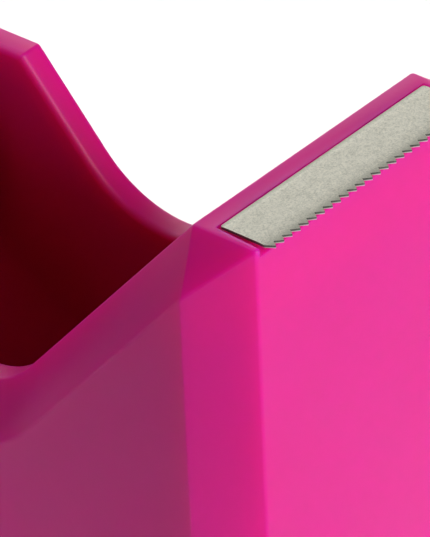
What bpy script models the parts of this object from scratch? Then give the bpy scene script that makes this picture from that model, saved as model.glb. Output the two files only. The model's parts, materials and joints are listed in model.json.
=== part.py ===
"""A weighted desk tape dispenser with a one-piece faceted shell, a steel cutter and a lift-out hub.

Width runs along X, the front faces -Y and Z is up. The origin is under the middle of the object, on the
surface that it stands on. Side outlines are written as (y, z), with y measured back from the front face.
"""

import math

import bmesh
import bpy
from mathutils import Matrix, Vector

MM = 0.001
GAP = 0.3 * MM                      # clearance between pieces that touch on the real object

# Whole object
WIDTH = 43.3 * MM
BODY_LENGTH = 114.3 * MM
HEIGHT = 63.5 * MM
STAND_OFF = 1.0 * MM                # height of the shell's lower edge above the table, on its feet
CUT_ACROSS = 4.6 * MM               # how far the cut along each side's edges reaches in from the side

# Side outline of the shell
HEAD_DEPTH = 7.9 * MM
HEAD_SLOPE = math.radians(49.0)
VALLEY_DROP = 30.0 * MM             # from the head's top down to the lowest point between head and hump
VALLEY_FRONT_RADIUS = 10.5 * MM
VALLEY_BACK_RADIUS = 14.2 * MM
HUMP_DROP = 15.1 * MM
HUMP_START = 58.4 * MM
HUMP_SLOPE = math.radians(48.6)

# How far the same cut reaches over the side face, for each line of the side outline. At the head the
# side face comes to a point, where the cuts along the front, the top and the slope all meet.
FRONT_CUT = 5.95 * MM
HEAD_SLOPE_CUT = 5.05 * MM
HEAD_TOP_CUT = (FRONT_CUT + HEAD_SLOPE_CUT / math.sin(HEAD_SLOPE) - HEAD_DEPTH) * math.tan(HEAD_SLOPE)
VALLEY_CUT = 5.3 * MM
HUMP_CUT = 5.9 * MM
BACK_CUT = 5.95 * MM
SIDE_CUTS = (
    FRONT_CUT, HEAD_TOP_CUT, HEAD_SLOPE_CUT, VALLEY_CUT, HUMP_CUT, HUMP_CUT, HUMP_CUT, BACK_CUT, 0.0,
)

# Walls and the tape well
WALL = 2.5 * MM
WELL_WALL = 2.2 * MM
RIM = 3.05 * MM                     # flat top of each side wall, between its outer cut and the well
WELL_FLOOR = 5.9 * MM
WELL_FRONT_TOP = (9.9 * MM, 61.2 * MM)
WELL_FRONT_SLOPE = math.radians(64.0)
WELL_FRONT_RADIUS = 6.0 * MM
HEAD_SOLID_DEPTH = 7.0 * MM         # the moulding is solid under the blade

# Hub
HUB_Y = 75.4 * MM
HUB_Z = 32.0 * MM
ROLL_SPACE = HUB_Z - WELL_FLOOR     # radius kept free around the axle for a full roll
FLANGE_RADIUS = 13.4 * MM
FLANGE_THICKNESS = 1.5 * MM
BARREL_RADIUS = 12.5 * MM
BARREL_WALL = 1.5 * MM
HUB_HALF_WIDTH = 11.5 * MM
HUB_WEB = 1.6 * MM
SPIGOT_RADIUS = 4.2 * MM
SPIGOT_REACH = 6.0 * MM
SOCKET_WALL = 1.7 * MM
AXLE_RADIUS = 2.0 * MM
AXLE_CHAMFER = 0.4 * MM
SLOT_DEPTH = 2.0 * MM
SLOT_BACKING = 1.8 * MM             # wall left standing behind each axle slot
COLLAR_RADIUS = 4.0 * MM

# Blade
TOOTH_COUNT = 25
TOOTH_PITCH = 1.235 * MM
TOOTH_DEPTH = 0.62 * MM
TOOTH_RISE = 0.64 * TOOTH_PITCH     # along X, from a tooth's left root to its tip
TOOTH_FALL = 0.33 * TOOTH_PITCH     # from the tip to its right root
FIRST_TIP_X = -15.1 * MM
TIP_OVERHANG = 0.75 * MM
BLADE_HALF_LENGTH = 15.8 * MM
BLADE_BACK = 5.6 * MM
BLADE_END_SET_BACK = 0.17 * MM      # the blade's left front corner behind the shell's front face
BLADE_THICKNESS = 0.3 * MM
BLADE_PROUD = 0.05 * MM             # blade top above the lip around it
SEAT_BACK_GAP = 0.25 * MM
SEAT_FRONT_FLARE = 0.45 * MM        # each end of the seat widens by this much towards the front
SEAT_RELIEF_DEPTH = 1.6 * MM        # behind the front face, the seat is lower by the drop below
SEAT_RELIEF_DROP = 0.4 * MM
LEG_X = 9.0 * MM
LEG_WIDTH = 4.0 * MM
LEG_DROP = 3.2 * MM

# Base
PLATE_BOTTOM = STAND_OFF + 0.2 * MM
PLATE_THICKNESS = 2.2 * MM
FOOT_RADIUS = 4.5 * MM
FOOT_HEIGHT = 1.5 * MM
FOOT_X = 13.0 * MM
FOOT_FRONT_Y = 14.0 * MM
FOOT_BACK_Y = 88.0 * MM
BOSS_RADIUS = 3.0 * MM
BOSS_X = 10.0 * MM
BOSS_FROM_FACE = 5.2 * MM
BOSS_HEIGHT = 10.0 * MM
BALLAST_HALF_WIDTH = 15.5 * MM
BALLAST_CLEARANCE = 0.9 * MM
FRONT_BALLAST_START = 11.0 * MM
FRONT_BALLAST_TOP = 50.0 * MM
BACK_BALLAST_START = 84.0 * MM
BACK_BALLAST_END = 105.5 * MM
BACK_BALLAST_TOP = 24.0 * MM
BALLAST_SCREW_X = 8.0 * MM
FRONT_BALLAST_SCREW_Y = 24.0 * MM
BACK_BALLAST_SCREW_Y = 99.0 * MM

# Screws, one size throughout
SCREW_HEAD_RADIUS = 2.4 * MM
SCREW_HEAD_HEIGHT = 1.0 * MM
SCREW_SHANK_RADIUS = 1.1 * MM
SCREW_LENGTH = 6.0 * MM
SCREW_HOLE_DEPTH = 7.0 * MM
CROSS_HALF_LENGTH = 1.4 * MM
CROSS_HALF_WIDTH = 0.3 * MM
CROSS_DEPTH = 0.6 * MM

HALF_TOTAL = (BODY_LENGTH + TIP_OVERHANG) / 2
FRONT_Y = TIP_OVERHANG - HALF_TOTAL  # world Y of the shell's front face
WELL_HALF_WIDTH = WIDTH / 2 - CUT_ACROSS - RIM
PLATE_TOP = PLATE_BOTTOM + PLATE_THICKNESS
BLADE_TOP = HEIGHT + BLADE_PROUD
SEAT = BLADE_TOP - BLADE_THICKNESS - GAP
BEYOND = 10.0 * MM                  # how far a cutter runs past what it cuts
TINY = 0.01 * MM                    # corners closer than this are merged
ARC_STEP = math.radians(4.0)
HOLE_SEGMENTS = 32
AXLE_SEGMENTS = 32
HUB_SEGMENTS = 48
SCOOP_SEGMENTS = 96

PINK = (0.72, 0.012, 0.255)
ZINC = (0.50, 0.49, 0.41)
STEEL = (0.55, 0.56, 0.57)
CAST_IRON = (0.10, 0.10, 0.11)
DARK_PLASTIC = (0.035, 0.035, 0.04)
RUBBER = (0.02, 0.02, 0.02)


def clear_scene():
    for obj in list(bpy.data.objects):
        bpy.data.objects.remove(obj, do_unlink=True)


def new_collection(name, hidden=False):
    collection = bpy.data.collections.new(name)
    collection.hide_render = hidden
    bpy.context.scene.collection.children.link(collection)
    return collection


def material(name, colour, roughness, metallic=0.0):
    made = bpy.data.materials.new(name)
    made.use_nodes = True
    shader = made.node_tree.nodes["Principled BSDF"]
    shader.inputs["Base Color"].default_value = (*colour, 1.0)
    shader.inputs["Roughness"].default_value = roughness
    shader.inputs["Metallic"].default_value = metallic
    return made


def add_part(obj, finish, smooth=False):
    """Puts a finished piece in the object's collection, with its material."""
    for collection in list(obj.users_collection):
        collection.objects.unlink(obj)
    PARTS.objects.link(obj)
    obj.data.materials.clear()
    obj.data.materials.append(finish)
    if smooth:
        obj.data.shade_smooth()
        obj.data.set_sharp_from_angle(angle=math.radians(30))
    return obj


def add_cutter(obj):
    """Puts a helper shape in the hidden collection."""
    for collection in list(obj.users_collection):
        collection.objects.unlink(obj)
    CUTTERS.objects.link(obj)
    obj.hide_render = True
    obj.display_type = "WIRE"
    return obj


def boolean(obj, other, operation="DIFFERENCE"):
    modifier = obj.modifiers.new(other.name, "BOOLEAN")
    modifier.operation = operation
    modifier.solver = "EXACT"
    modifier.object = other


def line_crossing(a, b, c, d):
    """The point where the line through a and b crosses the line through c and d."""
    first, second = b - a, d - c
    along = (c - a).cross(second) / first.cross(second)
    return a + first * along


def outline(corners, inset=0.0):
    """Points of a closed outline, listed clockwise as (y, z[, radius]), moved inwards by an inset.

    The inset is one distance, or one for the line that starts at each corner. A corner with a radius
    is rounded; the radius of a hollow corner grows with the inset.
    """
    count = len(corners)
    insets = list(inset) if isinstance(inset, (list, tuple)) else [inset] * count
    points = [Vector(corner[:2]) for corner in corners]
    moved = []
    for index in range(count):
        start, end = points[index], points[(index + 1) % count]
        along = (end - start).normalized()
        inwards = Vector((along.y, -along.x)) * insets[index]
        moved.append((start + inwards, end + inwards))
    sharp = [line_crossing(*moved[index - 1], *moved[index]) for index in range(count)]
    rounded = []
    for index, corner in enumerate(corners):
        here, before, after = sharp[index], sharp[index - 1], sharp[(index + 1) % count]
        back, ahead = (before - here).normalized(), (after - here).normalized()
        hollow = (here - before).cross(after - here) > 0
        own_inset = (insets[index - 1] + insets[index]) / 2
        radius = corner[2] + (own_inset if hollow else -own_inset) if len(corner) > 2 else 0.0
        if radius <= 0:
            rounded.append(here)
            continue
        half = back.angle(ahead) / 2
        centre = here + (back + ahead).normalized() * (radius / math.sin(half))
        start = here + back * (radius / math.tan(half))
        turn = (math.pi - 2 * half) * (1 if hollow else -1)
        steps = max(2, round(abs(turn) / ARC_STEP))
        for step in range(steps + 1):
            rounded.append(centre + Matrix.Rotation(turn * step / steps, 2) @ (start - centre))
    return rounded


def extruded(name, points, half_depth, axes):
    """A mesh made from a flat curve through the points, extruded both ways along its own Z.

    The curve is drawn in millimetres, because a filled curve loses corners that are very close together.
    """
    curve = bpy.data.curves.new(name, "CURVE")
    curve.dimensions = "2D"
    curve.fill_mode = "BOTH"
    curve.extrude = half_depth / MM
    spline = curve.splines.new("POLY")
    spline.points.add(len(points) - 1)
    for spot, point in zip(spline.points, points):
        spot.co = (point[0] / MM, point[1] / MM, 0.0, 1.0)
    spline.use_cyclic_u = True
    guide = bpy.data.objects.new(name + "_guide", curve)
    bpy.context.scene.collection.objects.link(guide)
    bpy.context.view_layer.update()
    evaluated = guide.evaluated_get(bpy.context.evaluated_depsgraph_get())
    mesh = bpy.data.meshes.new_from_object(evaluated)
    bpy.data.objects.remove(guide, do_unlink=True)
    bm = bmesh.new()
    bm.from_mesh(mesh)
    bmesh.ops.remove_doubles(bm, verts=bm.verts, dist=0.001)
    for level in (-1, 1):
        cap = [face for face in bm.faces if all(vert.co.z * level > 0 for vert in face.verts)]
        bmesh.ops.dissolve_faces(bm, faces=cap)
    bmesh.ops.transform(bm, matrix=axes @ Matrix.Scale(MM, 4), verts=bm.verts)
    bmesh.ops.recalc_face_normals(bm, faces=bm.faces)
    bm.to_mesh(mesh)
    bm.free()
    obj = bpy.data.objects.new(name, mesh)
    bpy.context.scene.collection.objects.link(obj)
    return obj


def side_solid(name, points, half_width):
    """A solid whose outline is drawn from the side and runs across the width."""
    axes = Matrix(((0, 0, 1, 0), (1, 0, 0, FRONT_Y), (0, 1, 0, 0), (0, 0, 0, 1)))
    return extruded(name, points, half_width, axes)


def plan_solid(name, points, bottom, top):
    """A solid whose outline is drawn from above, as (x, y), and runs from bottom to top."""
    axes = Matrix.Translation((0, FRONT_Y, (bottom + top) / 2))
    return extruded(name, points, (top - bottom) / 2, axes)


def box(name, low, high):
    """A box between two corners, with y measured back from the front face."""
    size = [b - a for a, b in zip(low, high)]
    middle = [(a + b) / 2 for a, b in zip(low, high)]
    bm = bmesh.new()
    bmesh.ops.create_cube(bm, size=1.0)
    bmesh.ops.scale(bm, vec=size, verts=bm.verts)
    bmesh.ops.translate(bm, vec=(middle[0], middle[1] + FRONT_Y, middle[2]), verts=bm.verts)
    return object_from(name, bm)


def cylinder(name, centre, radius, depth, along_x=False, segments=HOLE_SEGMENTS):
    """A cylinder about its centre, with y measured back from the front face, upright or along X."""
    turn = Matrix.Rotation(math.pi / 2, 4, "Y") if along_x else Matrix.Identity(4)
    place = Matrix.Translation((centre[0], centre[1] + FRONT_Y, centre[2]))
    bm = bmesh.new()
    bmesh.ops.create_cone(
        bm, cap_ends=True, segments=segments, radius1=radius, radius2=radius, depth=depth,
        matrix=place @ turn,
    )
    return object_from(name, bm)


def object_from(name, bm):
    mesh = bpy.data.meshes.new(name)
    bm.to_mesh(mesh)
    bm.free()
    obj = bpy.data.objects.new(name, mesh)
    bpy.context.scene.collection.objects.link(obj)
    return obj


def turned(name, profile, segments=HUB_SEGMENTS):
    """A turned piece about its own X axis, from a closed profile of (radius, x) points."""
    mesh = bpy.data.meshes.new(name + "_profile")
    count = len(profile)
    corners = [(x, 0.0, radius) for radius, x in profile]
    mesh.from_pydata(corners, [(i, (i + 1) % count) for i in range(count)], [])
    guide = bpy.data.objects.new(name + "_guide", mesh)
    bpy.context.scene.collection.objects.link(guide)
    screw = guide.modifiers.new("turn", "SCREW")
    screw.axis = "X"
    screw.steps = segments
    screw.render_steps = segments
    screw.use_merge_vertices = True
    screw.merge_threshold = TINY
    bpy.context.view_layer.update()
    evaluated = guide.evaluated_get(bpy.context.evaluated_depsgraph_get())
    bm = bmesh.new()
    bm.from_mesh(evaluated.data)
    bpy.data.objects.remove(guide, do_unlink=True)
    bmesh.ops.remove_doubles(bm, verts=bm.verts, dist=TINY)
    bmesh.ops.recalc_face_normals(bm, faces=bm.faces)
    return object_from(name, bm)


def cut_solid(name, edge_points, side_points, edge_half_width, half_width):
    """A solid with its side edges cut away: one outline across the middle, a smaller one on each side."""
    bm = bmesh.new()
    rings = []
    for x, points in (
        (-half_width, side_points), (-edge_half_width, edge_points),
        (edge_half_width, edge_points), (half_width, side_points),
    ):
        rings.append([bm.verts.new((x, y + FRONT_Y, z)) for y, z in points])
    for ring, following in zip(rings, rings[1:]):
        for index in range(len(ring)):
            bm.faces.new((ring[index - 1], ring[index], following[index], following[index - 1]))
    bm.faces.new(rings[0])
    bm.faces.new(rings[-1])
    bmesh.ops.remove_doubles(bm, verts=bm.verts, dist=TINY)
    bmesh.ops.recalc_face_normals(bm, faces=bm.faces)
    if bm.calc_volume(signed=True) < 0:
        bmesh.ops.reverse_faces(bm, faces=bm.faces)
    return object_from(name, bm)


def hollow_share():
    """The cut of the hollow's edges as a share of the shell's, so that the wall keeps its thickness."""
    down = sum(SIDE_CUTS) / (len(SIDE_CUTS) - 1)
    steep = math.hypot(1 / CUT_ACROSS, 1 / down)
    return 1 + WALL * (steep - 1 / CUT_ACROSS - 1 / down)


def body_corners(bottom, head_top):
    """Corners of the shell's side outline, with the head cut off level at head_top."""
    slope = math.tan(HEAD_SLOPE)
    hump_slope = math.tan(HUMP_SLOPE)
    valley = HEIGHT - VALLEY_DROP
    hump = HEIGHT - HUMP_DROP
    hump_end = 2 * HUB_Y - HUMP_START
    return [
        (0.0, bottom),
        (0.0, head_top),
        (HEAD_DEPTH + (HEIGHT - head_top) / slope, head_top),
        (HEAD_DEPTH + VALLEY_DROP / slope, valley, VALLEY_FRONT_RADIUS),
        (HUMP_START - (hump - valley) / hump_slope, valley, VALLEY_BACK_RADIUS),
        (HUMP_START, hump),
        (hump_end, hump),
        (BODY_LENGTH, hump - (BODY_LENGTH - hump_end) * hump_slope),
        (BODY_LENGTH, bottom),
    ]


def well_corners():
    """Corners of the tape well: a sloping front, a level floor and a back that follows a full roll."""
    top = HEIGHT + BEYOND
    front_y, front_z = WELL_FRONT_TOP
    slope = math.tan(WELL_FRONT_SLOPE)
    back = HUB_Y + ROLL_SPACE
    return [
        (front_y + (front_z - WELL_FLOOR) / slope, WELL_FLOOR, WELL_FRONT_RADIUS),
        (front_y - (top - front_z) / slope, top),
        (back, top),
        (back, WELL_FLOOR, ROLL_SPACE),
    ]


def plate_corners():
    """Corners of the opening under the shell, from above."""
    half = WIDTH / 2
    flat = half - CUT_ACROSS
    back = BODY_LENGTH
    return [
        (-half, FRONT_CUT), (-half, back - BACK_CUT), (-flat, back), (flat, back),
        (half, back - BACK_CUT), (half, FRONT_CUT), (flat, 0.0), (-flat, 0.0),
    ]


def boss_places():
    back = BODY_LENGTH - BOSS_FROM_FACE
    return [(x, y) for y in (BOSS_FROM_FACE, back) for x in (-BOSS_X, BOSS_X)]


def ballast_screw_places(y):
    return [(-BALLAST_SCREW_X, y), (BALLAST_SCREW_X, y)]


def foot_places():
    return [(x, y) for y in (FOOT_FRONT_Y, FOOT_BACK_Y) for x in (-FOOT_X, FOOT_X)]


def make_core():
    """The hollow under the shell, which leaves its walls, screw bosses and slot backs standing."""
    corners = body_corners(-BEYOND, HEIGHT - HEAD_SOLID_DEPTH)
    half = WIDTH / 2 - WALL
    share = hollow_share()
    insets = [WALL + cut * share for cut in SIDE_CUTS]
    core = cut_solid(
        "core", outline(corners, WALL), outline(corners, insets), half - CUT_ACROSS * share, half
    )
    block = side_solid("well_walls", outline(well_corners(), -WELL_WALL), WELL_HALF_WIDTH + WELL_WALL)
    boolean(core, add_cutter(block))
    for side in (-1, 1):
        slot_back = WELL_HALF_WIDTH + SLOT_DEPTH + SLOT_BACKING
        reach = AXLE_RADIUS + GAP + WELL_WALL
        low = (min(0, side * slot_back), HUB_Y - reach, HUB_Z - reach)
        high = (max(0, side * slot_back), HUB_Y + reach, HEIGHT)
        boolean(core, add_cutter(box(f"slot_guard_{'left' if side < 0 else 'right'}", low, high)))
    for number, (x, y) in enumerate(boss_places(), 1):
        bottom = PLATE_TOP + GAP
        centre = (x, y, bottom + BOSS_HEIGHT / 2)
        boolean(core, add_cutter(cylinder(f"boss_{number}", centre, BOSS_RADIUS, BOSS_HEIGHT)))
    return add_cutter(core)


def make_shell(finish):
    corners = body_corners(STAND_OFF, HEIGHT)
    half = WIDTH / 2
    shell = cut_solid(
        "body_shell", outline(corners), outline(corners, SIDE_CUTS), half - CUT_ACROSS, half
    )
    boolean(shell, add_cutter(side_solid("well", outline(well_corners()), WELL_HALF_WIDTH)))
    boolean(shell, make_core())
    for side in (-1, 1):
        name = "left" if side < 0 else "right"
        wide = AXLE_RADIUS + GAP
        inner, outer = WELL_HALF_WIDTH - BEYOND, WELL_HALF_WIDTH + SLOT_DEPTH
        low = (min(side * inner, side * outer), HUB_Y - wide, HUB_Z)
        high = (max(side * inner, side * outer), HUB_Y + wide, HEIGHT)
        boolean(shell, add_cutter(box(f"slot_{name}", low, high)))
        seat = (side * (inner + outer) / 2, HUB_Y, HUB_Z)
        slot_end = cylinder(f"slot_end_{name}", seat, wide, outer - inner, along_x=True)
        boolean(shell, add_cutter(slot_end))
    cut_blade_seat(shell)
    for number, (x, y) in enumerate(boss_places(), 1):
        centre = (x, y, PLATE_TOP + SCREW_HOLE_DEPTH / 2)
        hole = cylinder(f"boss_hole_{number}", centre, SCREW_SHANK_RADIUS + GAP, SCREW_HOLE_DEPTH)
        boolean(shell, add_cutter(hole))
    return add_part(shell, finish)


def cut_blade_seat(shell):
    """The recess that holds the blade, with a lower strip along its front and two slots for the legs."""
    back_half = BLADE_HALF_LENGTH + GAP
    back = BLADE_BACK + SEAT_BACK_GAP
    front_half = back_half + SEAT_FRONT_FLARE
    beyond_half = front_half + SEAT_FRONT_FLARE * BEYOND / back
    relief_half = front_half - SEAT_FRONT_FLARE * SEAT_RELIEF_DEPTH / back
    whole = [(-back_half, back), (back_half, back), (beyond_half, -BEYOND), (-beyond_half, -BEYOND)]
    strip = [
        (-relief_half, SEAT_RELIEF_DEPTH), (relief_half, SEAT_RELIEF_DEPTH),
        (beyond_half, -BEYOND), (-beyond_half, -BEYOND),
    ]
    above = HEIGHT + BEYOND
    boolean(shell, add_cutter(plan_solid("blade_seat", whole, SEAT, above)))
    boolean(shell, add_cutter(plan_solid("seat_relief", strip, SEAT - SEAT_RELIEF_DROP, above)))
    for side in (-1, 1):
        name = "left" if side < 0 else "right"
        x = side * LEG_X
        half_slot = LEG_WIDTH / 2 + GAP
        low = (x - half_slot, back - BLADE_THICKNESS - 2 * GAP, BLADE_TOP - LEG_DROP - 2 * GAP)
        high = (x + half_slot, back, HEIGHT)
        boolean(shell, add_cutter(box(f"leg_slot_{name}", low, high)))


def blade_points():
    """The blade's outline from above: square back corners, and raked teeth along the front."""
    root = TOOTH_DEPTH - TIP_OVERHANG
    points = [(BLADE_HALF_LENGTH, BLADE_BACK), (BLADE_HALF_LENGTH, root)]
    for tooth in reversed(range(TOOTH_COUNT)):
        tip = FIRST_TIP_X + tooth * TOOTH_PITCH
        points.append((tip + TOOTH_FALL, root))
        points.append((tip, -TIP_OVERHANG))
        if tooth:
            points.append((tip - TOOTH_RISE, root))
    points.append((-BLADE_HALF_LENGTH, BLADE_END_SET_BACK))
    points.append((-BLADE_HALF_LENGTH, BLADE_BACK))
    return points


def make_blade(finish):
    blade = plan_solid("cutter_blade", blade_points(), BLADE_TOP - BLADE_THICKNESS, BLADE_TOP)
    for side in (-1, 1):
        x = side * LEG_X
        low = (x - LEG_WIDTH / 2, BLADE_BACK - BLADE_THICKNESS, BLADE_TOP - LEG_DROP)
        high = (x + LEG_WIDTH / 2, BLADE_BACK, BLADE_TOP - BLADE_THICKNESS / 2)
        leg = box(f"blade_leg_{'left' if side < 0 else 'right'}", low, high)
        boolean(blade, add_cutter(leg), "UNION")
    return add_part(blade, finish)


def on_axle(obj, parent):
    obj.parent = parent
    return obj


def make_hub(finish):
    """Two halves that push together inside the roll's core: the left one's spigot enters the right one."""
    bore = AXLE_RADIUS + GAP
    web = HUB_HALF_WIDTH - HUB_WEB
    meet = GAP / 2
    barrel_in = BARREL_RADIUS - BARREL_WALL
    flange = HUB_HALF_WIDTH - FLANGE_THICKNESS
    socket_in = SPIGOT_RADIUS + GAP
    socket_out = socket_in + SOCKET_WALL
    left = [
        (bore, SPIGOT_REACH), (SPIGOT_RADIUS, SPIGOT_REACH), (SPIGOT_RADIUS, -web), (barrel_in, -web),
        (barrel_in, -meet), (BARREL_RADIUS, -meet), (BARREL_RADIUS, -flange), (FLANGE_RADIUS, -flange),
        (FLANGE_RADIUS, -HUB_HALF_WIDTH), (bore, -HUB_HALF_WIDTH),
    ]
    right = [
        (bore, HUB_HALF_WIDTH), (FLANGE_RADIUS, HUB_HALF_WIDTH), (FLANGE_RADIUS, flange),
        (BARREL_RADIUS, flange), (BARREL_RADIUS, meet), (barrel_in, meet), (barrel_in, web),
        (socket_out, web), (socket_out, meet), (socket_in, meet), (socket_in, SPIGOT_REACH + GAP),
        (bore, SPIGOT_REACH + GAP),
    ]
    for name, profile in (("hub_left", left), ("hub_right", right)):
        add_part(on_axle(turned(name, profile), AXLE_LINE), finish, smooth=True)


def make_axle(steel, plastic):
    reach = WELL_HALF_WIDTH + SLOT_DEPTH - GAP
    end_radius = AXLE_RADIUS - AXLE_CHAMFER
    full = reach - AXLE_CHAMFER
    axle = [
        (0.0, reach), (end_radius, reach), (AXLE_RADIUS, full),
        (AXLE_RADIUS, -full), (end_radius, -reach), (0.0, -reach),
    ]
    add_part(on_axle(turned("hub_axle", axle, AXLE_SEGMENTS), AXLE_LINE), steel, smooth=True)
    inner = HUB_HALF_WIDTH + GAP
    outer = WELL_HALF_WIDTH - GAP
    bore = AXLE_RADIUS + GAP
    ring = [(bore, outer), (COLLAR_RADIUS, outer), (COLLAR_RADIUS, inner), (bore, inner)]
    other = [(radius, -x) for radius, x in reversed(ring)]
    for name, profile in (("axle_collar_right", ring), ("axle_collar_left", other)):
        add_part(on_axle(turned(name, profile, AXLE_SEGMENTS), AXLE_LINE), plastic, smooth=True)


def make_plate(finish):
    plate = plan_solid("base_plate", outline(plate_corners(), WALL + GAP), PLATE_BOTTOM, PLATE_TOP)
    holes = boss_places() + ballast_screw_places(FRONT_BALLAST_SCREW_Y)
    holes += ballast_screw_places(BACK_BALLAST_SCREW_Y)
    for number, (x, y) in enumerate(holes, 1):
        through = cylinder(
            f"plate_hole_{number}", (x, y, PLATE_BOTTOM), SCREW_SHANK_RADIUS + GAP, BEYOND
        )
        boolean(plate, add_cutter(through))
        depth = 2 * (SCREW_HEAD_HEIGHT + GAP)
        pocket = cylinder(
            f"plate_pocket_{number}", (x, y, PLATE_BOTTOM), SCREW_HEAD_RADIUS + GAP, depth
        )
        boolean(plate, add_cutter(pocket))
    for number, (x, y) in enumerate(foot_places(), 1):
        depth = 2 * (FOOT_HEIGHT + GAP - PLATE_BOTTOM)
        dish = cylinder(f"foot_dish_{number}", (x, y, PLATE_BOTTOM), FOOT_RADIUS + GAP, depth)
        boolean(plate, add_cutter(dish))
    return add_part(plate, finish)


def make_ballast(finish):
    front_y, front_z = WELL_FRONT_TOP
    slope = math.tan(WELL_FRONT_SLOPE)
    shift = (WELL_WALL + BALLAST_CLEARANCE) / math.sin(WELL_FRONT_SLOPE)
    bottom = PLATE_TOP + GAP
    points = [
        (FRONT_BALLAST_START, bottom),
        (FRONT_BALLAST_START, FRONT_BALLAST_TOP),
        (front_y - shift + (front_z - FRONT_BALLAST_TOP) / slope, FRONT_BALLAST_TOP),
        (front_y - shift + (front_z - bottom) / slope, bottom),
    ]
    front = side_solid("front_ballast", points, BALLAST_HALF_WIDTH)
    low = (-BALLAST_HALF_WIDTH, BACK_BALLAST_START, bottom)
    high = (BALLAST_HALF_WIDTH, BACK_BALLAST_END, BACK_BALLAST_TOP)
    back = box("back_ballast", low, high)
    scoop_radius = ROLL_SPACE + WELL_WALL + BALLAST_CLEARANCE
    scoop = cylinder("scoop", (0, HUB_Y, HUB_Z), scoop_radius, WIDTH, True, SCOOP_SEGMENTS)
    boolean(back, add_cutter(scoop))
    for block, y in ((front, FRONT_BALLAST_SCREW_Y), (back, BACK_BALLAST_SCREW_Y)):
        for x, y in ballast_screw_places(y):
            centre = (x, y, bottom + SCREW_HOLE_DEPTH / 2 - GAP)
            hole = cylinder(
                f"{block.name}_hole_{x:+.3f}", centre, SCREW_SHANK_RADIUS + GAP, SCREW_HOLE_DEPTH
            )
            boolean(block, add_cutter(hole))
        add_part(block, finish)


def screw_mesh():
    """A pan head screw pointing up, with a cross cut in its head, standing on its own origin."""
    head = cylinder("screw_body", (0, -FRONT_Y, SCREW_HEAD_HEIGHT / 2), SCREW_HEAD_RADIUS, SCREW_HEAD_HEIGHT)
    middle = SCREW_HEAD_HEIGHT / 2 + SCREW_LENGTH / 2
    shank = cylinder("screw_shank", (0, -FRONT_Y, middle), SCREW_SHANK_RADIUS, SCREW_LENGTH)
    boolean(head, add_cutter(shank), "UNION")
    long, short, deep = CROSS_HALF_LENGTH, CROSS_HALF_WIDTH, CROSS_DEPTH
    for name, half_x, half_y in (("cross_x", long, short), ("cross_y", short, long)):
        arm = box(name, (-half_x, -half_y - FRONT_Y, -deep), (half_x, half_y - FRONT_Y, deep))
        boolean(head, add_cutter(arm))
    bpy.context.view_layer.update()
    evaluated = head.evaluated_get(bpy.context.evaluated_depsgraph_get())
    mesh = bpy.data.meshes.new_from_object(evaluated)
    mesh.name = "screw"
    bpy.data.objects.remove(head, do_unlink=True)
    return mesh


def make_screws(finish):
    mesh = screw_mesh()
    places = {"base_screw": boss_places()}
    places["ballast_screw"] = ballast_screw_places(FRONT_BALLAST_SCREW_Y)
    places["ballast_screw"] += ballast_screw_places(BACK_BALLAST_SCREW_Y)
    for kind, spots in places.items():
        for number, (x, y) in enumerate(spots, 1):
            screw = bpy.data.objects.new(f"{kind}_{number}", mesh)
            screw.location = (x, y + FRONT_Y, PLATE_BOTTOM)
            add_part(screw, finish)


def make_feet(finish):
    for number, (x, y) in enumerate(foot_places(), 1):
        foot = cylinder(f"foot_{number}", (x, y, FOOT_HEIGHT / 2), FOOT_RADIUS, FOOT_HEIGHT)
        add_part(foot, finish)


def make_axle_line():
    empty = bpy.data.objects.new("axle_line", None)
    empty.location = (0.0, FRONT_Y + HUB_Y, HUB_Z)
    PARTS.objects.link(empty)
    return empty


clear_scene()
PARTS = new_collection("tape_dispenser")
CUTTERS = new_collection("cutters", hidden=True)
AXLE_LINE = make_axle_line()

make_shell(material("pink plastic", PINK, 0.38))
make_blade(material("zinc-plated steel", ZINC, 0.42, 1.0))
make_hub(material("hub plastic", PINK, 0.40))
make_axle(material("bright steel", STEEL, 0.30, 1.0), material("collar plastic", PINK, 0.45))
make_plate(material("black plastic", DARK_PLASTIC, 0.50))
make_ballast(material("cast iron", CAST_IRON, 0.75, 0.6))
make_screws(material("screw steel", STEEL, 0.35, 1.0))
make_feet(material("black rubber", RUBBER, 0.85))
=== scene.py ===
"""The desk tape dispenser's looks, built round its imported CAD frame."""

import json
import math

import bmesh
import bpy
from mathutils import Matrix, Vector


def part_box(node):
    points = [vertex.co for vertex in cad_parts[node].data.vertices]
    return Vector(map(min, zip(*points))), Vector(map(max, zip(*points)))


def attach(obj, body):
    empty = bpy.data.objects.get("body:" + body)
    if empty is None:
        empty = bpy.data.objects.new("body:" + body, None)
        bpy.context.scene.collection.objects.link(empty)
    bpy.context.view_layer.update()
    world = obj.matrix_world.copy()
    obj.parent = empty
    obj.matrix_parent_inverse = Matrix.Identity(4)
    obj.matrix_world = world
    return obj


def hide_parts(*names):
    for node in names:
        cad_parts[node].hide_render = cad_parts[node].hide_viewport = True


MM = 0.001

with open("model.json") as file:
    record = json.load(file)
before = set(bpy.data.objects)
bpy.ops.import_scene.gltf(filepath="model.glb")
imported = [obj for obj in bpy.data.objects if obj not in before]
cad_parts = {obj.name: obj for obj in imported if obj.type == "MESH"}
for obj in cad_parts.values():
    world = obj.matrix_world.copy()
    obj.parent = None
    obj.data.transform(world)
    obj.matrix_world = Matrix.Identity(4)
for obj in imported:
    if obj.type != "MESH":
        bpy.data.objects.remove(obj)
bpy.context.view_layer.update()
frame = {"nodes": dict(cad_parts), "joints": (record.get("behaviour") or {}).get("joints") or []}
NODES = frame["nodes"]

SHELL_LOW, SHELL_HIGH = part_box("body_shell")
BLADE_LOW, BLADE_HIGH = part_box("cutter_blade")
AXLE = Vector(next(joint for joint in frame["joints"] if joint["type"] == "hinge")["pos_m"])
FRONT = SHELL_LOW.y
TOP = SHELL_HIGH.z

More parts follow.
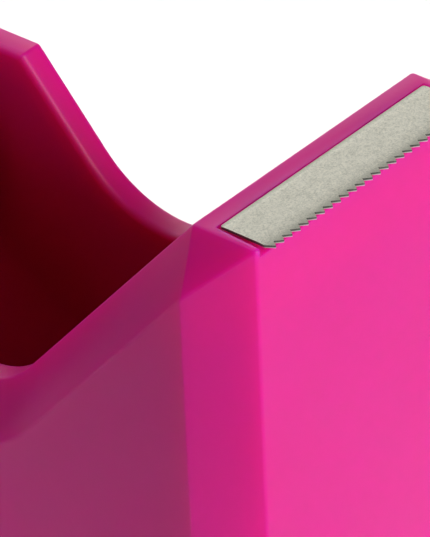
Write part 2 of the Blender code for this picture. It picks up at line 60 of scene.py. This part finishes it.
# Camera, at the viewing angle of a close product picture
AZIMUTH = math.radians(-48.945)
ELEVATION = math.radians(33.842)
ROLL = math.radians(-2.462)
DISTANCE = 537.5 * MM
LENS = 464.8
SENSOR = 36.0
AIM = Vector((-13.62 * MM, FRONT + 8.34 * MM, TOP - 7.15 * MM))

# Edge radii of the moulding
OUTER_RADIUS = 0.6 * MM
RIM_RADIUS = 0.8 * MM
HEAD_TOP_RADIUS = 0.38 * MM
SEAT_RADIUS = 0.12 * MM
SEAT_FRONT_RADIUS = 0.14 * MM
FOOT_EDGE_RADIUS = 0.35 * MM
SLOT_RADIUS = 0.2 * MM
RIM_REACH = 7.4 * MM                # the well's edges lie within this distance of each side
SLOT_REACH = 2.6 * MM               # the axle slots' edges lie within this distance of the axle
SEAT_SHARE = 0.6                    # the blade's seat starts at this share of the blade's height
SEAT_BEHIND = 0.5 * MM              # and reaches this far past the blade's back
SEAT_BESIDE = 0.85 * MM             # and past its ends
FLAT = 0.1 * MM                     # an edge this close to a face's height lies on it
LEAST_TURN = math.radians(18)       # edges that turn less stay as they are


def look_matrix(eye_from, azimuth, elevation, roll, distance):
    """A camera matrix that looks at a point; azimuth 0 looks along +Y."""
    back = Vector((
        math.sin(azimuth) * math.cos(elevation),
        -math.cos(azimuth) * math.cos(elevation),
        math.sin(elevation),
    ))
    right = Vector((math.cos(azimuth), math.sin(azimuth), 0.0))
    up = back.cross(right)
    turned_right = right * math.cos(roll) + up * math.sin(roll)
    turned_up = up * math.cos(roll) - right * math.sin(roll)
    rows = Matrix((turned_right, turned_up, back)).transposed().to_4x4()
    return Matrix.Translation(eye_from + back * distance) @ rows


def add_camera():
    data = bpy.data.cameras.new("camera")
    data.sensor_fit = "HORIZONTAL"
    data.sensor_width = SENSOR
    data.lens = LENS
    data.clip_start = 0.01
    data.clip_end = 10.0
    camera = bpy.data.objects.new("camera", data)
    bpy.context.scene.collection.objects.link(camera)
    camera.matrix_world = look_matrix(AIM, AZIMUTH, ELEVATION, ROLL, DISTANCE)
    bpy.context.scene.camera = camera


# Materials

class Nodes:
    """A short way to write a material's node tree."""

    def __init__(self, name):
        self.material = bpy.data.materials.new(name)
        self.material.use_nodes = True
        self.tree = self.material.node_tree
        self.shader = self.tree.nodes["Principled BSDF"]
        self.place = self.add("ShaderNodeTexCoord").outputs["Object"]

    def add(self, kind, **settings):
        node = self.tree.nodes.new(kind)
        for key, value in settings.items():
            setattr(node, key, value)
        return node

    def link(self, output, socket):
        self.tree.links.new(output, socket)

    def noise(self, scale, detail=3.0, roughness=0.55, stretch=None):
        node = self.add("ShaderNodeTexNoise")
        node.inputs["Scale"].default_value = scale
        node.inputs["Detail"].default_value = detail
        node.inputs["Roughness"].default_value = roughness
        place = self.place
        if stretch:
            mapping = self.add("ShaderNodeMapping")
            mapping.inputs["Scale"].default_value = stretch
            self.link(place, mapping.inputs["Vector"])
            place = mapping.outputs["Vector"]
        self.link(place, node.inputs["Vector"])
        return node.outputs["Fac"]

    def ramp(self, factor, *stops):
        node = self.add("ShaderNodeValToRGB")
        stops_made = node.color_ramp.elements
        while len(stops_made) < len(stops):
            stops_made.new(0.5)
        for element, (position, colour) in zip(stops_made, stops):
            element.position = position
            element.color = (*colour, 1.0) if len(colour) == 3 else colour
        self.link(factor, node.inputs["Fac"])
        return node.outputs["Color"]

    def span(self, factor, low, high, from_low=0.0, from_high=1.0):
        node = self.add("ShaderNodeMapRange")
        node.inputs["From Min"].default_value = from_low
        node.inputs["From Max"].default_value = from_high
        node.inputs["To Min"].default_value = low
        node.inputs["To Max"].default_value = high
        self.link(factor, node.inputs["Value"])
        return node.outputs["Result"]

    def mix(self, factor, first, second, blend="MIX"):
        node = self.add("ShaderNodeMix", data_type="RGBA", blend_type=blend)
        for socket, value in ((0, factor), (6, first), (7, second)):
            if isinstance(value, (int, float)):
                node.inputs[socket].default_value = value
            elif isinstance(value, tuple):
                node.inputs[socket].default_value = (*value, 1.0)
            else:
                self.link(value, node.inputs[socket])
        return node.outputs[2]

    def bump(self, height, strength, distance, normal=None):
        node = self.add("ShaderNodeBump")
        node.inputs["Strength"].default_value = strength
        node.inputs["Distance"].default_value = distance
        self.link(height, node.inputs["Height"])
        if normal is not None:
            self.link(normal, node.inputs["Normal"])
        return node.outputs["Normal"]

    def set(self, **values):
        for key, value in values.items():
            socket = self.shader.inputs[key.replace("_", " ")]
            if isinstance(value, tuple):
                socket.default_value = value if socket.type == "VECTOR" else (*value, 1.0)
            elif isinstance(value, (int, float)):
                socket.default_value = value
            else:
                self.link(value, socket)
        return self.material


PAINTED_SHADE_REACH = 50.0 * MM           # painted shade: how far a hollow's far wall still deepens its colour
PAINTED_SHADE_START = TOP - 6.0 * MM       # the painted shade starts at this height
PAINTED_SHADE_FULL = TOP - 12.0 * MM       # and is full at this one
SCATTER_DEPTH = 6.5 * MM


def shell_plastic(name="shell_plastic"):
    """Translucent magenta plastic with a fine satin texture.

    Its colour goes over to a deep red in the well, by ambient occlusion and height: painted shade
    standing for light that bounces between walls of one plastic.
    """
    m = Nodes(name)
    cloud = m.noise(60.0, 2.0)
    grain = m.noise(9000.0, 2.0)
    mottle = m.noise(1400.0, 3.0)
    colour = m.ramp(cloud, (0.3, (0.785, 0.003, 0.272)), (0.7, (0.815, 0.004, 0.286)))
    # Painted shade: ambient occlusion and height turn the colour towards deep red in the well.
    painted_shade_ao = m.add("ShaderNodeAmbientOcclusion", samples=8, only_local=True)
    painted_shade_ao.inputs["Distance"].default_value = PAINTED_SHADE_REACH
    depth = m.span(painted_shade_ao.outputs["AO"], 1.0, 0.0, 0.35, 0.92)
    height = m.add("ShaderNodeSeparateXYZ")
    m.link(m.place, height.inputs["Vector"])
    below = m.span(height.outputs["Z"], 1.0, 0.0, PAINTED_SHADE_FULL, PAINTED_SHADE_START)
    share = m.add("ShaderNodeMath", operation="MULTIPLY")
    m.link(depth, share.inputs[0])
    m.link(below, share.inputs[1])
    # Painted shade: the mix towards this deep red paints the well's shade into the colour.
    colour = m.mix(share.outputs["Value"], colour, (0.55, 0.002, 0.040))
    rough = m.span(mottle, 0.36, 0.44)
    normal = m.bump(grain, 0.06, 0.01 * MM)
    normal = m.bump(mottle, 0.05, 0.03 * MM, normal)
    return m.set(
        Base_Color=colour, Roughness=rough, Normal=normal, IOR=1.49, Specular_IOR_Level=0.36,
        Subsurface_Weight=0.9, Subsurface_Radius=(1.0, 0.05, 0.5), Subsurface_Scale=SCATTER_DEPTH,
    )


def blade_zinc():
    """Dull zinc plate: fine grain, with painted shade on the bent strip at the teeth and along the
    back edge.
    """
    m = Nodes("blade_zinc")
    coarse = m.noise(1500.0, 4.0, 0.6)
    fine = m.noise(5200.0, 3.0, 0.75)
    streak = m.noise(2600.0, 3.0, 0.6, stretch=(0.25, 1.0, 1.0))
    colour = m.ramp(
        coarse, (0.34, (0.60, 0.59, 0.50)), (0.5, (0.66, 0.65, 0.555)), (0.66, (0.71, 0.695, 0.595)),
    )
    colour = m.mix(m.span(fine, 0.0, 0.8, 0.52, 0.68), colour, (0.86, 0.81, 0.68))
    colour = m.mix(m.span(fine, 0.6, 0.0, 0.34, 0.47), colour, (0.33, 0.33, 0.27))
    across = m.add("ShaderNodeSeparateXYZ")
    m.link(m.place, across.inputs["Vector"])
    from_tips = across.outputs["Y"]
    # Painted shade: darker towards the tips, over the bent front strip.
    front = m.span(from_tips, 0.45, 0.0, BLADE_LOW.y + 0.35 * MM, BLADE_LOW.y + 1.15 * MM)
    # Painted shade: darker along the back edge, for the dark gap behind the blade.
    back = m.span(from_tips, 0.0, 0.6, BLADE_HIGH.y - 0.55 * MM, BLADE_HIGH.y - 0.12 * MM)
    colour = m.mix(front, colour, (0.20, 0.205, 0.155))
    colour = m.mix(back, colour, (0.24, 0.245, 0.19))
    rough = m.span(streak, 0.38, 0.56)
    normal = m.bump(fine, 0.22, 0.015 * MM)
    normal = m.bump(coarse, 0.12, 0.03 * MM, normal)
    return m.set(Base_Color=colour, Roughness=rough, Normal=normal, Metallic=0.75)


def cut_steel():
    """The sheared edge of the blade: torn dark metal, its raw tone deepened by painted shade, above a
    painted highlight along its lower edge.
    """
    m = Nodes("cut_steel")
    tear = m.noise(5200.0, 3.0, 0.6, stretch=(1.0, 1.0, 0.3))
    # Dark flank colour: the cut metal's own tone together with painted shade for its dark reflection.
    dark = m.ramp(tear, (0.3, (0.060, 0.066, 0.058)), (0.7, (0.15, 0.155, 0.135)))
    height = m.add("ShaderNodeSeparateXYZ")
    m.link(m.place, height.inputs["Vector"])
    # Painted highlight: a bright band along the lower edge of the sheared flank.
    lip = m.span(
        height.outputs["Z"], 1.0, 0.0, BLADE_HIGH.z - FRONT_BEND_DROP - 0.25 * MM,
        BLADE_HIGH.z - FRONT_BEND_DROP - 0.14 * MM,
    )
    colour = m.mix(lip, dark, (0.80, 0.79, 0.72))
    return m.set(
        Base_Color=colour, Roughness=m.span(tear, 0.35, 0.55), Normal=m.bump(tear, 0.3, 0.02 * MM),
        Metallic=0.6,
    )


def turned_steel():
    m = Nodes("turned_steel")
    rings = m.noise(3000.0, 3.0, 0.6, stretch=(1.0, 0.05, 0.05))
    stain = m.noise(400.0, 3.0)
    colour = m.ramp(stain, (0.3, (0.46, 0.47, 0.48)), (0.7, (0.60, 0.60, 0.60)))
    return m.set(
        Base_Color=colour, Metallic=1.0, Roughness=m.span(rings, 0.22, 0.40),
        Normal=m.bump(rings, 0.12, 0.01 * MM),
    )


def base_plastic():
    m = Nodes("base_plastic")
    spark = m.noise(4200.0, 3.0, 0.7)
    cloud = m.noise(120.0, 2.0)
    colour = m.ramp(cloud, (0.3, (0.026, 0.026, 0.028)), (0.7, (0.042, 0.042, 0.045)))
    return m.set(
        Base_Color=colour, Roughness=m.span(spark, 0.42, 0.62), Normal=m.bump(spark, 0.35, 0.03 * MM),
    )


def cast_iron():
    m = Nodes("cast_iron")
    lumps = m.noise(1300.0, 5.0, 0.65)
    rust = m.noise(260.0, 4.0, 0.6)
    colour = m.ramp(
        rust, (0.35, (0.07, 0.07, 0.075)), (0.62, (0.11, 0.105, 0.10)), (0.8, (0.16, 0.09, 0.055)),
    )
    return m.set(
        Base_Color=colour, Metallic=0.5, Roughness=m.span(lumps, 0.62, 0.88),
        Normal=m.bump(lumps, 0.6, 0.15 * MM),
    )


def foot_rubber():
    m = Nodes("foot_rubber")
    grain = m.noise(3500.0, 4.0, 0.7)
    dust = m.noise(700.0, 3.0)
    colour = m.ramp(dust, (0.4, (0.016, 0.016, 0.016)), (0.75, (0.040, 0.039, 0.037)))
    return m.set(
        Base_Color=colour, Roughness=m.span(grain, 0.72, 0.92), Normal=m.bump(grain, 0.4, 0.04 * MM),
    )


def stage_floor_finish():
    m = Nodes("floor_paper")
    tooth = m.noise(900.0, 3.0)
    return m.set(Base_Color=(0.62, 0.62, 0.62), Roughness=0.9, Normal=m.bump(tooth, 0.02, 0.05 * MM))


def object_from(name, bm):
    mesh = bpy.data.meshes.new(name)
    bm.to_mesh(mesh)
    bm.free()
    obj = bpy.data.objects.new(name, mesh)
    bpy.context.scene.collection.objects.link(obj)
    return obj


# The shell: the CAD shape with its edges rounded

def clean_copy(node, name):
    """A copy of a CAD node's mesh with its flat faces whole again."""
    bm = bmesh.new()
    bm.from_mesh(NODES[node].data)
    bmesh.ops.remove_doubles(bm, verts=bm.verts, dist=0.004 * MM)
    bmesh.ops.dissolve_limit(bm, angle_limit=math.radians(0.6), verts=bm.verts, edges=bm.edges)
    return object_from(name, bm)


def shell_edge_radius(edge):
    """How round an edge of the shell is, from where it lies."""
    middle = (edge.verts[0].co + edge.verts[1].co) / 2
    seat = BLADE_LOW.z + (BLADE_HIGH.z - BLADE_LOW.z) * SEAT_SHARE
    in_seat = middle.z > seat and middle.y < BLADE_HIGH.y + SEAT_BEHIND
    if in_seat and abs(middle.x) < BLADE_HIGH.x + SEAT_BESIDE:
        return SEAT_FRONT_RADIUS if middle.y < FRONT + 0.05 * MM else SEAT_RADIUS
    if middle.z > TOP - FLAT:
        return HEAD_TOP_RADIUS
    if abs(middle.y - AXLE.y) < SLOT_REACH and middle.z > AXLE.z - SLOT_REACH:
        return SLOT_RADIUS
    normals = [face.normal for face in edge.link_faces]
    inward = any(abs(n.x) > 0.9 and n.x * middle.x < 0 for n in normals)
    if inward or abs(middle.x) < SHELL_HIGH.x - RIM_REACH and middle.z < TOP - 1.0 * MM:
        return RIM_RADIUS
    if middle.z < SHELL_LOW.z + FLAT:
        return FOOT_EDGE_RADIUS
    return OUTER_RADIUS


def hidden_inside(edge):
    """Whether an edge is under the shell, in the hollow that the base plate closes."""
    faces_down = any(face.normal.z < -0.3 for face in edge.link_faces)
    return faces_down and edge.verts[0].co.z > SHELL_LOW.z + 1.0 * MM


def round_shell_edges(obj):
    bm = bmesh.new()
    bm.from_mesh(obj.data)
    weight = bm.edges.layers.float.new("bevel_weight_edge")
    widest = max(OUTER_RADIUS, RIM_RADIUS)
    for edge in bm.edges:
        if len(edge.link_faces) != 2:
            continue
        turn = edge.calc_face_angle_signed()
        if turn < LEAST_TURN or hidden_inside(edge):
            continue
        radius = shell_edge_radius(edge)
        edge[weight] = min(1.0, radius * math.tan(turn / 2) / widest)
    bm.to_mesh(obj.data)
    bm.free()
    bevel = obj.modifiers.new("rounding", "BEVEL")
    bevel.limit_method = "WEIGHT"
    bevel.offset_type = "OFFSET"
    bevel.width = widest
    bevel.segments = 5
    bevel.profile = 0.5
    bevel.use_clamp_overlap = False
    bevel.harden_normals = True
    bevel.miter_outer = "MITER_SHARP"


def add_shell():
    shell = clean_copy("body_shell", "shell_moulding")
    round_shell_edges(shell)
    shell.data.shade_smooth()
    shell.data.materials.append(shell_plastic())
    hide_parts("body_shell")
    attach(shell, "root")


# Pieces modelled afresh

def combine(obj, other, operation):
    """Joins another shape to a piece, or cuts it away, and removes the other shape."""
    modifier = obj.modifiers.new(operation, "BOOLEAN")
    modifier.operation = operation
    modifier.solver = "EXACT"
    modifier.object = other
    bpy.context.view_layer.update()
    evaluated = obj.evaluated_get(bpy.context.evaluated_depsgraph_get())
    mesh = bpy.data.meshes.new_from_object(evaluated)
    obj.modifiers.clear()
    obj.data = mesh
    bpy.data.objects.remove(other, do_unlink=True)


def soften(obj, width, segments=3, angle=30.0):
    """Rounds a piece's sharp edges and shades it smooth."""
    bevel = obj.modifiers.new("rounding", "BEVEL")
    bevel.limit_method = "ANGLE"
    bevel.angle_limit = math.radians(angle)
    bevel.width = width
    bevel.segments = segments
    bevel.harden_normals = True
    obj.data.shade_smooth()


def solid_box(name, low, high):
    bm = bmesh.new()
    bmesh.ops.create_cube(bm, size=1.0)
    bmesh.ops.scale(bm, vec=high - low, verts=bm.verts)
    bmesh.ops.translate(bm, vec=(low + high) / 2, verts=bm.verts)
    return object_from(name, bm)


def stand_for(obj, material, slot, body, *nodes):
    obj.data.materials.clear()
    obj.data.materials.append(material)
    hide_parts(*nodes)
    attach(obj, body)


# Blade
TOOTH_COUNT = 25
TOOTH_PITCH = 1.235 * MM
FIRST_TOOTH = 0.7 * MM              # first tip from the blade's left end
TOOTH_RISE = 0.63                   # share of the pitch, from a left root to its tip
TOOTH_FALL = 0.34
TOOTH_DEPTH = 0.62 * MM
END_NOTCH = 0.92 * MM               # the left front corner from the line of tips
BLADE_THICKNESS = 0.3 * MM
FRONT_BEND_START = 1.9 * MM         # measured back from the tips
FRONT_BEND_DROP = 0.13 * MM
BACK_BEND_START = 0.8 * MM          # measured forward from the back edge
BACK_BEND_DROP = 0.06 * MM
FRONT_BEND_ROWS = [0.3, 0.62, 0.9, 1.15, 1.4, 1.65, 1.9, 2.4]    # cuts that let it bend, in mm
BACK_BEND_ROWS = [0.15, 0.35, 0.55, 0.8, 1.2]
BLADE_EDGE_RADIUS = 0.015 * MM
CORNER_RADIUS = 0.3 * MM
LEG_X = 9.0 * MM
LEG_WIDTH = 4.0 * MM
SEAT_LINE = TOP - 0.6 * MM


def blade_outline():
    left, right = BLADE_LOW.x, BLADE_HIGH.x
    tips, back = BLADE_LOW.y, BLADE_HIGH.y
    root = tips + TOOTH_DEPTH
    points = rounded_corner(left + CORNER_RADIUS, back - CORNER_RADIUS, 90)
    points.append((left, tips + END_NOTCH))
    for tooth in range(TOOTH_COUNT):
        tip = left + FIRST_TOOTH + tooth * TOOTH_PITCH
        if tooth:
            points.append((tip - TOOTH_RISE * TOOTH_PITCH, root))
        points.append((tip - 0.04 * MM, tips + 0.02 * MM))
        points.append((tip + 0.02 * MM, tips))
        points.append((tip + TOOTH_FALL * TOOTH_PITCH, root))
    points.append((right, root))
    points += rounded_corner(right - CORNER_RADIUS, back - CORNER_RADIUS, 0)
    return points


def rounded_corner(x, y, start):
    """A quarter circle about (x, y), anticlockwise from an angle in degrees."""
    angles = [math.radians(start + step * 18) for step in range(6)]
    return [(x + CORNER_RADIUS * math.cos(a), y + CORNER_RADIUS * math.sin(a)) for a in angles]


def blade_drop(y):
    """How far the pressed edges of the blade bend down below its flat middle."""
    from_tips = y - BLADE_LOW.y
    from_back = BLADE_HIGH.y - y
    front = FRONT_BEND_DROP * max(0.0, 1 - from_tips / FRONT_BEND_START) ** 1.3
    back = BACK_BEND_DROP * max(0.0, 1 - from_back / BACK_BEND_START) ** 1.6
    return front + back


def add_blade():
    bm = bmesh.new()
    top = [bm.verts.new((x, y, BLADE_HIGH.z)) for x, y in blade_outline()]
    face = bm.faces.new(top)
    face.normal_update()
    if face.normal.z < 0:
        face.normal_flip()
    rows = [BLADE_LOW.y + row * MM for row in FRONT_BEND_ROWS]
    rows += [BLADE_HIGH.y - row * MM for row in BACK_BEND_ROWS]
    for row in rows:
        bmesh.ops.bisect_plane(
            bm, geom=bm.verts[:] + bm.edges[:] + bm.faces[:], dist=0.001 * MM,
            plane_co=(0, row, 0), plane_no=(0, 1, 0),
        )
    made = bmesh.ops.extrude_face_region(bm, geom=bm.faces[:])
    below = [item for item in made["geom"] if isinstance(item, bmesh.types.BMVert)]
    bmesh.ops.translate(bm, vec=(0, 0, -BLADE_THICKNESS), verts=below)
    for vert in bm.verts:
        vert.co.z -= blade_drop(vert.co.y)
    bmesh.ops.recalc_face_normals(bm, faces=bm.faces)
    blade = object_from("blade_strip", bm)
    for side in (-1, 1):
        half = Vector((LEG_WIDTH / 2, 0, 0))
        middle = Vector((side * LEG_X, 0, 0))
        back = BLADE_HIGH.y - 0.02 * MM
        low = middle - half + Vector((0, back - BLADE_THICKNESS, BLADE_LOW.z))
        high = middle + half + Vector((0, back, BLADE_HIGH.z - BLADE_THICKNESS / 2 - BACK_BEND_DROP))
        combine(blade, solid_box("leg", low, high), "UNION")
    soften(blade, BLADE_EDGE_RADIUS, 2, 25.0)
    stand_for(blade, blade_zinc(), "blade", "root", "cutter_blade")
    blade.data.materials.append(cut_steel())
    for face in blade.data.polygons:
        sheared = abs(face.normal.z) < 0.5 and face.center.z > SEAT_LINE
        face.material_index = 1 if sheared else 0


# Hub
RIB_COUNT = 12
RIB_HALF_WIDTH = 0.35 * MM
RIB_RISE = 0.22 * MM                # above the barrel
RIB_ROOT = 0.5 * MM                 # below the barrel's surface
RIB_OPEN_END = 0.4 * MM             # from the barrel's open end
RIB_FLANGE_END = 0.3 * MM           # into the flange
WEB_HOLES = 6
WEB_HOLE_SHIFT = 0.3                # of a step, which keeps the holes off the turned edges
WEB_HOLE_RADIUS = 1.25 * MM
WEB_HOLE_CIRCLE = 8.6 * MM
WEB_THICKNESS = 1.6 * MM
BARREL_WALL = 1.5 * MM
FLANGE_RISE = 0.95 * MM             # above the barrel
FLANGE_THICKNESS = 1.5 * MM
FLANGE_BEVEL_ALONG = 0.25 * MM
FLANGE_BEVEL_DOWN = 0.9 * MM
BORE_RADIUS = 2.3 * MM
HALVES_GAP = 0.15 * MM              # from the middle to each barrel's open end
PLUG_RADIUS = 4.2 * MM              # the left half's stem
SOCKET_RADIUS = 4.5 * MM            # the right half's sleeve round the stem
SLEEVE_RADIUS = 6.2 * MM
SLEEVE_END = 6.3 * MM
RING_DEPTH = 0.35 * MM              # the ring pressed into each outer face
RING = (4.8 * MM, 5.2 * MM, 6.6 * MM, 7.0 * MM)


def turned_piece(name, profile, centre, steps=96):
    """A piece turned about the line through centre along X, from a closed (radius, x) profile."""
    bm = bmesh.new()
    verts = [bm.verts.new((x, centre.y, centre.z + radius)) for radius, x in profile]
    edges = [bm.edges.new((verts[i - 1], verts[i])) for i in range(len(verts))]
    bmesh.ops.spin(
        bm, geom=verts + edges, cent=(0, centre.y, centre.z), axis=(1, 0, 0),
        angle=2 * math.pi, steps=steps, use_duplicate=False,
    )
    bmesh.ops.remove_doubles(bm, verts=bm.verts, dist=0.002 * MM)
    bmesh.ops.recalc_face_normals(bm, faces=bm.faces)
    return object_from(name, bm)


def drill(obj, centre, radius, low_x, high_x):
    bm = bmesh.new()
    middle = Matrix.Translation(((low_x + high_x) / 2, centre.y, centre.z))
    bmesh.ops.create_cone(
        bm, cap_ends=True, segments=40, radius1=radius, radius2=radius, depth=high_x - low_x,
        matrix=middle @ Matrix.Rotation(math.pi / 2, 4, "Y"),
    )
    combine(obj, object_from("drill", bm), "DIFFERENCE")


def hub_profile(side, outer, reach, flange_radius):
    """One half's (radius, x) profile; the left half has the stem and the right half its sleeve."""
    barrel = flange_radius - FLANGE_RISE
    inside = barrel - BARREL_WALL
    flange = outer - FLANGE_THICKNESS
    web = outer - WEB_THICKNESS
    ring_in, ring_floor_in, ring_floor_out, ring_out = RING
    if side < 0:
        core = [(BORE_RADIUS, reach), (PLUG_RADIUS, reach), (PLUG_RADIUS, web)]
    else:
        core = [
            (BORE_RADIUS, SLEEVE_END), (SOCKET_RADIUS, SLEEVE_END), (SOCKET_RADIUS, HALVES_GAP),
            (SLEEVE_RADIUS, HALVES_GAP), (SLEEVE_RADIUS, web),
        ]
    return core + [
        (inside, web), (inside, HALVES_GAP), (barrel, HALVES_GAP), (barrel, flange),
        (flange_radius, flange), (flange_radius, outer - FLANGE_BEVEL_ALONG),
        (flange_radius - FLANGE_BEVEL_DOWN, outer), (ring_out, outer),
        (ring_floor_out, outer - RING_DEPTH), (ring_floor_in, outer - RING_DEPTH),
        (ring_in, outer), (BORE_RADIUS, outer),
    ]


def add_hub_half(node, side, centre):
    low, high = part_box(node)
    outer = high.x if side > 0 else -low.x
    flange_radius = high.z - centre.z
    barrel = flange_radius - FLANGE_RISE
    flange = outer - FLANGE_THICKNESS
    web = outer - WEB_THICKNESS
    profile = hub_profile(side, outer, -high.x, flange_radius)
    hub = turned_piece(node + "_moulding", [(radius, side * x) for radius, x in profile], centre)
    for hole in range(WEB_HOLES):
        angle = 2 * math.pi * (hole + WEB_HOLE_SHIFT) / WEB_HOLES
        spot = centre + Vector((0, math.sin(angle), math.cos(angle))) * WEB_HOLE_CIRCLE
        ends = sorted((side * (web - 1.0 * MM), side * (outer + 1.0 * MM)))
        drill(hub, spot, WEB_HOLE_RADIUS, *ends)
    for rib in range(RIB_COUNT):
        angle = 2 * math.pi * (rib + 0.5) / RIB_COUNT
        ends = sorted((side * (HALVES_GAP + RIB_OPEN_END), side * (flange + RIB_FLANGE_END)))
        low_corner = Vector((ends[0], -RIB_HALF_WIDTH, barrel - RIB_ROOT))
        high_corner = Vector((ends[1], RIB_HALF_WIDTH, barrel + RIB_RISE))
        block = solid_box("rib", low_corner, high_corner)
        turn = Matrix.Translation(Vector((0, centre.y, centre.z))) @ Matrix.Rotation(angle, 4, "X")
        block.data.transform(turn)
        combine(hub, block, "UNION")
    soften(hub, 0.12 * MM, 2)
    stand_for(hub, shell_plastic(node + "_plastic"), "hub", "hub", node)


def add_hub():
    add_hub_half("hub_left", -1, AXLE)
    add_hub_half("hub_right", 1, AXLE)


# Feet
FOOT_BEVEL = 0.35 * MM
GROOVE_DEPTH = 0.25 * MM
GROOVE_PITCH = 1.2 * MM             # from one ring groove in the tread to the next
GROOVE_STEPS = (0.15 * MM, 0.45 * MM, 0.6 * MM)    # inwards, from a groove's outer lip


def add_foot(number, material):
    node = f"foot_{number}"
    low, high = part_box(node)
    centre = (low + high) / 2
    radius = (high.x - low.x) / 2
    height = high.z - low.z
    profile = [(0.0, height), (radius, height), (radius, FOOT_BEVEL), (radius - FOOT_BEVEL, 0.0)]
    outer_wall, inner_wall, lip = GROOVE_STEPS
    at = radius - 0.9 * MM
    while at > GROOVE_PITCH:
        profile += [
            (at, 0.0), (at - outer_wall, GROOVE_DEPTH), (at - inner_wall, GROOVE_DEPTH),
            (at - lip, 0.0),
        ]
        at -= GROOVE_PITCH
    profile.append((0.0, 0.0))
    bm = bmesh.new()
    verts = [bm.verts.new((centre.x + r, centre.y, low.z + z)) for r, z in profile]
    edges = [bm.edges.new((a, b)) for a, b in zip(verts, verts[1:])]
    bmesh.ops.spin(
        bm, geom=verts + edges, cent=(centre.x, centre.y, 0), axis=(0, 0, 1),
        angle=2 * math.pi, steps=64, use_duplicate=False,
    )
    bmesh.ops.remove_doubles(bm, verts=bm.verts, dist=0.002 * MM)
    bmesh.ops.recalc_face_normals(bm, faces=bm.faces)
    foot = object_from(f"rubber_{node}", bm)
    soften(foot, 0.06 * MM, 2)
    stand_for(foot, material, "foot", "root", node)


# Stage
FLOOR_HALF = 3.0                    # half the floor's side, in metres


def add_floor():
    bm = bmesh.new()
    bmesh.ops.create_grid(bm, x_segments=8, y_segments=8, size=FLOOR_HALF)
    floor = object_from("floor", bm)
    floor.data.materials.append(stage_floor_finish())
    light_floor(floor)


LIGHTS = [
    ("key_low", 14, 8, 0.45, 3.75),
    ("key_high", -12, 28, 0.45, 4.7),
    ("top_front", -10, 50, 0.45, 1.3),
    ("back_low", 131, 15, 0.7, 2.3),
    ("back_middle", 131, 35, 0.7, 0.6),
    ("back_left", 175, 35, 0.7, 2.8),
]
WORLD = 0.05
GLOW_CENTRE = Vector((85.0 * MM, 38.0 * MM, 0.0))
GLOW_HEIGHT = 0.45
GLOW_POWER = 27.0
GLOW_ANGLE = math.radians(30)


def softbox(name, azimuth, elevation, size, power):
    """A square light a metre away; azimuth 0 is straight in front and 90 is on the right."""
    around, up = math.radians(azimuth), math.radians(elevation)
    direction = Vector((
        math.sin(around) * math.cos(up), -math.cos(around) * math.cos(up), math.sin(up),
    ))
    data = bpy.data.lights.new(name, "AREA")
    data.size = size
    data.energy = power
    light = bpy.data.objects.new(name, data)
    bpy.context.scene.collection.objects.link(light)
    light.location = direction + Vector((0.0, 0.0, TOP / 2))
    light.rotation_euler = direction.to_track_quat("Z", "Y").to_euler()


def light_floor(floor):
    """A soft pool on the floor behind the object, which lights nothing else."""
    data = bpy.data.lights.new("floor_glow", "SPOT")
    data.energy = GLOW_POWER
    data.spot_size = GLOW_ANGLE
    data.spot_blend = 1.0
    data.shadow_soft_size = 0.15
    light = bpy.data.objects.new("floor_glow", data)
    bpy.context.scene.collection.objects.link(light)
    light.location = GLOW_CENTRE + Vector((0.0, 0.0, GLOW_HEIGHT))
    only = bpy.data.collections.new("lit_by_glow")
    only.objects.link(floor)
    light.light_linking.receiver_collection = only
    light.light_linking.blocker_collection = only


def add_lights():
    for name, azimuth, elevation, size, power in LIGHTS:
        softbox(name, azimuth, elevation, size, power)
    world = bpy.data.worlds.new("studio")
    world.use_nodes = True
    background = world.node_tree.nodes["Background"]
    background.inputs["Color"].default_value = (1.0, 1.0, 1.0, 1.0)
    background.inputs["Strength"].default_value = WORLD
    bpy.context.scene.world = world
    bpy.context.scene.view_settings.view_transform = "Standard"


def finish_cad_node(node, material, rounding):
    obj = NODES[node]
    obj.data.materials.clear()
    obj.data.materials.append(material)
    weld = obj.modifiers.new("weld", "WELD")
    weld.merge_threshold = 0.002 * MM
    bevel = obj.modifiers.new("rounding", "BEVEL")
    bevel.limit_method = "ANGLE"
    bevel.angle_limit = math.radians(35)
    bevel.width = rounding
    bevel.segments = 2
    bevel.harden_normals = True
    obj.data.shade_smooth()


def finish_cad_nodes():
    steel = turned_steel()
    plain = shell_plastic("collar_plastic")
    black = base_plastic()
    iron = cast_iron()
    finish_cad_node("hub_axle", steel, 0.08 * MM)
    for side in ("left", "right"):
        finish_cad_node(f"axle_collar_{side}", plain, 0.2 * MM)
    finish_cad_node("base_plate", black, 0.15 * MM)
    for end in ("front", "back"):
        finish_cad_node(f"{end}_ballast", iron, 0.3 * MM)
    for number in range(1, 5):
        finish_cad_node(f"base_screw_{number}", steel, 0.08 * MM)
        finish_cad_node(f"ballast_screw_{number}", steel, 0.08 * MM)


add_camera()
add_shell()
add_blade()
add_hub()
rubber = foot_rubber()
for foot_number in range(1, 5):
    add_foot(foot_number, rubber)
finish_cad_nodes()
add_floor()
add_lights()
